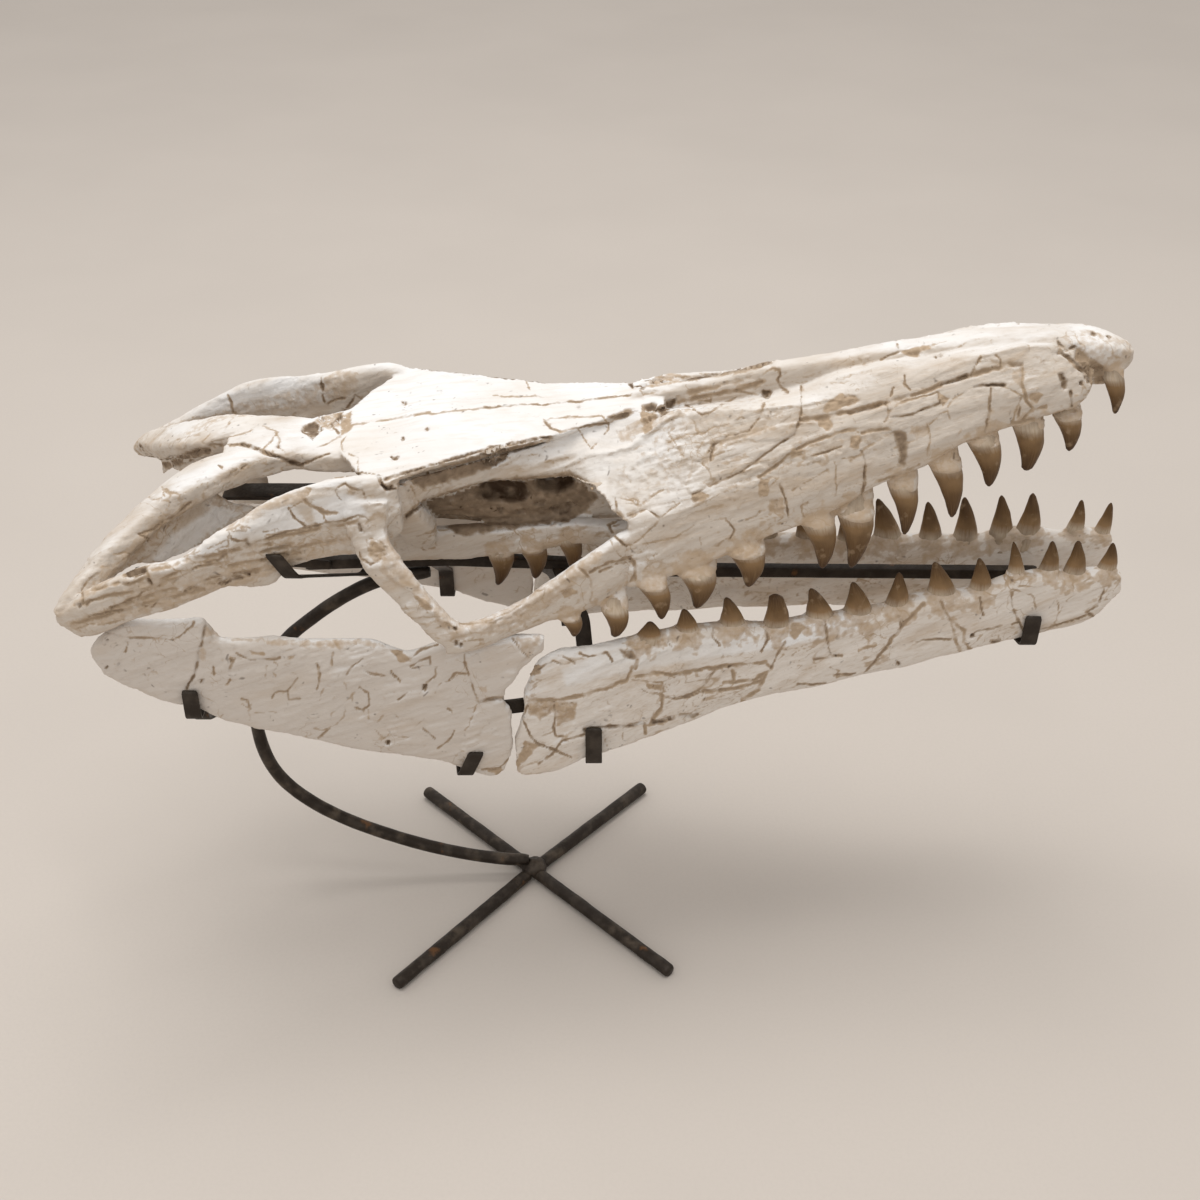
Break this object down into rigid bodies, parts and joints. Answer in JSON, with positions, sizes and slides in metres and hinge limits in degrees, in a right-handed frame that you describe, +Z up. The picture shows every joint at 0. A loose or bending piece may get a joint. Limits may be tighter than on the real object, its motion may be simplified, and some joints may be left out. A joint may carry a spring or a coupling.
{
  "type": "fossil mosasaur skull on stand",
  "caption": "Long fossil reptile skull with open toothed jaws, held over the floor by a curved iron post on a cross of round bars.",
  "frame": {"origin": "on the floor under the centre of the whole object's box", "axes": "+X towards the tip of the snout, +Y towards the animal's left, +Z up"},
  "size_m": [0.9996, 0.3464, 0.6592],
  "materials": {
    "fossil_bone": "dry matt fossil bone with tan filler and dark pits",
    "dark_iron": "dark worn iron with a few rust marks",
    "tooth_enamel": "brown striped enamel with a satin shine"
  },
  "bodies": {
    "root": {"cranium": "fossil_bone", "right_dentary": "fossil_bone", "right_rear_jaw": "fossil_bone", "left_dentary": "fossil_bone", "left_rear_jaw": "fossil_bone", "foot_bar_long": "dark_iron", "foot_arm_far": "dark_iron", "foot_arm_near": "dark_iron", "foot_weld": "dark_iron", "curved_post": "dark_iron", "spine_bar": "dark_iron", "roof_strap": "dark_iron", "claw_right": "dark_iron", "corner_strap_right": "dark_iron", "corner_strap_left": "dark_iron", "strut_right": "dark_iron", "strut_left": "dark_iron", "front_jaw_strap": "dark_iron", "jaw_link_right": "dark_iron", "front_hook_right": "dark_iron", "rear_hook_right": "dark_iron", "left_jaw_hook": "dark_iron"}
  },
  "joints": []
}
